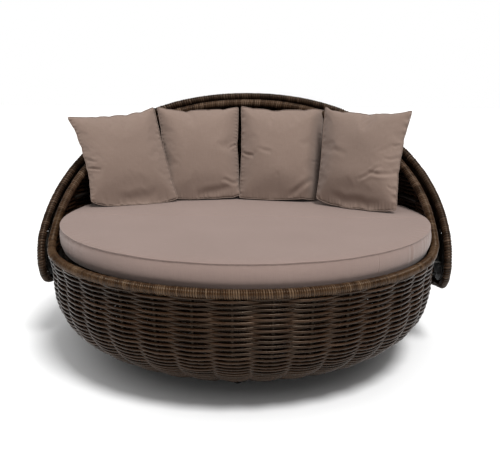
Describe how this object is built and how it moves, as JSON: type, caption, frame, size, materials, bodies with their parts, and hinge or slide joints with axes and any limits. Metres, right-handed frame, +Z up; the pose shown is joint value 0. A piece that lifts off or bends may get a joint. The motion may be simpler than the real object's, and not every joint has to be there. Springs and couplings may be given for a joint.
{
  "type": "outdoor daybed with canopy",
  "caption": "Round woven outdoor daybed with a rigid woven canopy hood that folds down behind the backrest, a thick round mattress and loose scatter pillows.",
  "frame": {"origin": "on the ground under the middle of the whole daybed's footprint with the hood folded back", "axes": "+Z up, +Y towards the backrest and hood, -Y towards the open front, +X to the right as seen from the front"},
  "size_m": [1.9592, 1.9786, 1.179],
  "materials": {
    "wicker": "round synthetic wicker strand, dark brown, satin",
    "wicker_wrap": "tube wrapped tightly with the same strand, satin",
    "frame_metal": "dark brown powder coat",
    "slat": "dark brown powder coat",
    "steel": "stainless fasteners",
    "black_plastic": "moulded, matt",
    "mattress_fabric": "taupe outdoor canvas, fine plain weave",
    "pillow_fabric": "taupe outdoor canvas, fine plain weave"
  },
  "bodies": {
    "base": {"rim_tube": "wicker_wrap", "backrest_arch_tube": "wicker_wrap", "bowl_weave": "wicker", "backrest_weave": "wicker", "base_frame": "frame_metal", "backrest_ribs": "frame_metal", "foot_1": "black_plastic", "foot_2": "black_plastic", "foot_3": "black_plastic", "foot_4": "black_plastic", "foot_5": "black_plastic", "foot_6": "black_plastic", "deck_slat_1": "slat", "deck_slat_2": "slat", "deck_slat_3": "slat", "deck_slat_4": "slat", "deck_slat_5": "slat", "deck_slat_6": "slat", "deck_slat_7": "slat", "deck_slat_8": "slat", "deck_slat_9": "slat", "mattress": "mattress_fabric", "pillow_1": "pillow_fabric", "pillow_2": "pillow_fabric", "pillow_3": "pillow_fabric", "pillow_4": "pillow_fabric", "pivot_bracket_left": "frame_metal", "pivot_bolt_left": "steel", "spacer_bush_left": "steel", "friction_washer_left": "black_plastic", "stop_pin_folded_left": "steel", "stop_pin_raised_left": "steel", "cap_nut_left": "steel", "pivot_bracket_right": "frame_metal", "pivot_bolt_right": "steel", "spacer_bush_right": "steel", "friction_washer_right": "black_plastic", "stop_pin_folded_right": "steel", "stop_pin_raised_right": "steel", "cap_nut_right": "steel"},
    "hood": {"hood_front_tube": "wicker_wrap", "hood_rear_tube": "wicker_wrap", "hood_weave": "wicker", "hood_rib_upper": "frame_metal", "hood_rib_middle": "frame_metal", "hood_pivot_plate_left": "frame_metal", "hood_pivot_plate_right": "frame_metal", "hood_end_weave_left": "wicker", "hood_end_weave_right": "wicker"}
  },
  "joints": [
    {"name": "hood_tilt", "type": "hinge", "parent": "base", "child": "hood", "pos_m": [0, 0.0168, 0.435], "axis": [1, 0, 0], "range_deg": [0, 66]}
  ]
}
